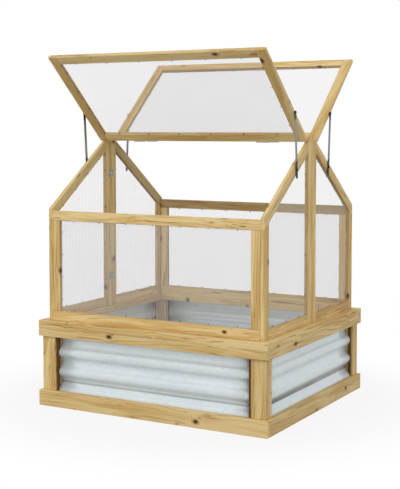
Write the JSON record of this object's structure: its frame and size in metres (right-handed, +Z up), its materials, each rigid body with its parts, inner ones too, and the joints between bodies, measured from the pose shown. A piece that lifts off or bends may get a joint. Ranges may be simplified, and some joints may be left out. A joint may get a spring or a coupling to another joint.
{
  "type": "flower bed greenhouse",
  "caption": "Raised flower bed of timber and corrugated sheet under a glazed timber house with roof lids hinged at the ridge and propped open by stays.",
  "frame": {"origin": "on the ground under the centre of the bed", "axes": "+X along the ridge to the right, -Y to the front, +Z up"},
  "size_m": [1, 0.894, 1.3738],
  "materials": {
    "fir_timber": "planed, oiled",
    "galvanised_sheet": "galvanised, rolled",
    "clear_glazing": "clear twin-wall sheet",
    "zinc_steel": "zinc plated",
    "dark_steel": "dark grey paint"
  },
  "bodies": {
    "bed_and_house": {"back_wall_bottom_rail": "fir_timber", "back_wall_left_stile": "fir_timber", "back_wall_pane": "clear_glazing", "back_wall_right_stile": "fir_timber", "back_wall_top_rail": "fir_timber", "bed_bottom_rail_back": "fir_timber", "bed_bottom_rail_front": "fir_timber", "bed_bottom_rail_left": "fir_timber", "bed_bottom_rail_right": "fir_timber", "bed_cap": "fir_timber", "bed_post_back_left": "fir_timber", "bed_post_back_right": "fir_timber", "bed_post_front_left": "fir_timber", "bed_post_front_right": "fir_timber", "bed_screws": "zinc_steel", "bed_sheet_back": "galvanised_sheet", "bed_sheet_front": "galvanised_sheet", "bed_sheet_left": "galvanised_sheet", "bed_sheet_right": "galvanised_sheet", "bed_top_rail_back": "fir_timber", "bed_top_rail_front": "fir_timber", "bed_top_rail_left": "fir_timber", "bed_top_rail_right": "fir_timber", "front_wall_bottom_rail": "fir_timber", "front_wall_left_stile": "fir_timber", "front_wall_pane": "clear_glazing", "front_wall_right_stile": "fir_timber", "front_wall_top_rail": "fir_timber", "gable_joining_plates": "zinc_steel", "hinge_pins": "zinc_steel", "house_fasteners": "zinc_steel", "left_gable_back_frame": "fir_timber", "left_gable_back_pane": "clear_glazing", "left_gable_front_frame": "fir_timber", "left_gable_front_pane": "clear_glazing", "ridge_board": "fir_timber", "ridge_hinge_leaves": "zinc_steel", "right_gable_back_frame": "fir_timber", "right_gable_back_pane": "clear_glazing", "right_gable_front_frame": "fir_timber", "right_gable_front_pane": "clear_glazing", "stay_pegs": "zinc_steel"},
    "front_lid": {"front_lid_eave_rail": "fir_timber", "front_lid_fasteners": "zinc_steel", "front_lid_hinge_leaves": "zinc_steel", "front_lid_hinge_rail": "fir_timber", "front_lid_left_rail": "fir_timber", "front_lid_pane": "clear_glazing", "front_lid_right_rail": "fir_timber"},
    "rear_lid": {"rear_lid_eave_rail": "fir_timber", "rear_lid_fasteners": "zinc_steel", "rear_lid_hinge_leaves": "zinc_steel", "rear_lid_hinge_rail": "fir_timber", "rear_lid_left_rail": "fir_timber", "rear_lid_pane": "clear_glazing", "rear_lid_right_rail": "fir_timber"},
    "front_left_stay": {"front_left_stay": "dark_steel"},
    "front_right_stay": {"front_right_stay": "dark_steel"},
    "rear_left_stay": {"rear_left_stay": "dark_steel"},
    "rear_right_stay": {"rear_right_stay": "dark_steel"}
  },
  "joints": [
    {"name": "front_lid_hinge", "type": "hinge", "parent": "bed_and_house", "child": "front_lid", "pos_m": [0, -0.048, 1.03747], "axis": [1, 0, 0], "range_deg": [0, 77]},
    {"name": "front_left_stay_pivot", "type": "hinge", "parent": "front_lid", "child": "front_left_stay", "pos_m": [-0.4728, -0.16571, 1.14884], "axis": [-1, 0, 0], "range_deg": [0, 136.26]},
    {"name": "front_right_stay_pivot", "type": "hinge", "parent": "front_lid", "child": "front_right_stay", "pos_m": [0.4728, -0.16571, 1.14884], "axis": [-1, 0, 0], "range_deg": [0, 136.26]},
    {"name": "rear_lid_hinge", "type": "hinge", "parent": "bed_and_house", "child": "rear_lid", "pos_m": [0, 0.048, 1.03747], "axis": [-1, 0, 0], "range_deg": [0, 77]},
    {"name": "rear_left_stay_pivot", "type": "hinge", "parent": "rear_lid", "child": "rear_left_stay", "pos_m": [-0.4728, 0.16571, 1.14884], "axis": [1, 0, 0], "range_deg": [0, 136.26]},
    {"name": "rear_right_stay_pivot", "type": "hinge", "parent": "rear_lid", "child": "rear_right_stay", "pos_m": [0.4728, 0.16571, 1.14884], "axis": [1, 0, 0], "range_deg": [0, 136.26]}
  ],
  "couplings": [
    {"joint": "front_left_stay_pivot", "follows": "front_lid_hinge", "ratio": 1.7695},
    {"joint": "front_right_stay_pivot", "follows": "front_lid_hinge", "ratio": 1.7695},
    {"joint": "rear_left_stay_pivot", "follows": "rear_lid_hinge", "ratio": 1.7695},
    {"joint": "rear_right_stay_pivot", "follows": "rear_lid_hinge", "ratio": 1.7695}
  ]
}
